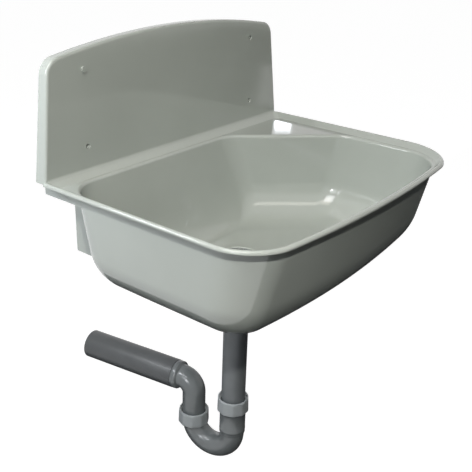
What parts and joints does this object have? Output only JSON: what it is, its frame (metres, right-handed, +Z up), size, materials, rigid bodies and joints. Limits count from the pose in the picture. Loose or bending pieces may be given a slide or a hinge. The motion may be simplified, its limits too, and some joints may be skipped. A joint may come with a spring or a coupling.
{
  "type": "mop service sink",
  "caption": "Wall-hung moulded tub with a high splash-back, a perforated floor strainer and a tubular P-trap whose slip joints turn and slide.",
  "frame": {"origin": "on the wall plane, midway between the four wall screw holes", "axes": "+X to the right seen from the front, +Y into the wall, +Z up"},
  "size_m": [0.52, 0.5405, 0.728],
  "materials": {
    "tub": "glossy moulded light grey with a green cast",
    "pipe": "satin mid-grey polypropylene",
    "nut": "satin mid-grey polypropylene",
    "rubber": "matt black",
    "stainless": "pressed stainless",
    "brass": "turned"
  },
  "bodies": {
    "basin": {"basin": "tub", "strainer": "stainless", "strainer_seal": "rubber", "centre_screw": "stainless", "body_gasket": "rubber", "waste_body": "pipe", "screw_insert": "brass", "tail_washer": "rubber", "tailpiece": "pipe"},
    "waste_union_nut": {"waste_union_nut": "nut"},
    "inlet_seal": {"inlet_cone_seal": "rubber"},
    "inlet_slip_nut": {"inlet_slip_nut": "nut"},
    "trap": {"inlet_socket": "pipe", "u_bend": "pipe"},
    "outlet_slip_nut": {"outlet_slip_nut": "nut"},
    "outlet_seal": {"outlet_cone_seal": "rubber"},
    "outlet_elbow": {"outlet_elbow": "pipe", "elbow_lip_seal": "rubber"},
    "outlet_pipe": {"outlet_pipe": "pipe"}
  },
  "joints": [
    {"name": "waste_union_turn", "type": "hinge", "parent": "basin", "child": "waste_union_nut", "pos_m": [0, -0.145, -0.28], "axis": [0, 0, 1], "range_deg": [0, 540]},
    {"name": "trap_height", "type": "slide", "parent": "basin", "child": "inlet_seal", "axis": [0, 0, 1], "range_m": [-0.02, 0.012]},
    {"name": "inlet_nut_turn", "type": "hinge", "parent": "inlet_seal", "child": "inlet_slip_nut", "pos_m": [0, -0.145, -0.51], "axis": [0, 0, 1], "range_deg": [0, 540]},
    {"name": "trap_turn", "type": "hinge", "parent": "inlet_seal", "child": "trap", "pos_m": [0, -0.145, -0.54], "axis": [0, 0, 1], "continuous": true},
    {"name": "outlet_nut_turn", "type": "hinge", "parent": "trap", "child": "outlet_slip_nut", "pos_m": [-0.009, -0.06601, -0.57], "axis": [0, 0, 1], "range_deg": [0, 540]},
    {"name": "outlet_turn", "type": "hinge", "parent": "trap", "child": "outlet_seal", "pos_m": [-0.009, -0.06601, -0.57], "axis": [0, 0, 1], "range_deg": [-130, 130]},
    {"name": "elbow_height", "type": "slide", "parent": "outlet_seal", "child": "outlet_elbow", "axis": [0, 0, 1], "range_m": [-0.0015, 0.005]},
    {"name": "outlet_pipe_pull", "type": "slide", "parent": "outlet_elbow", "child": "outlet_pipe", "axis": [-0.1564, 0.9877, 0], "range_m": [0, 0.02]}
  ]
}
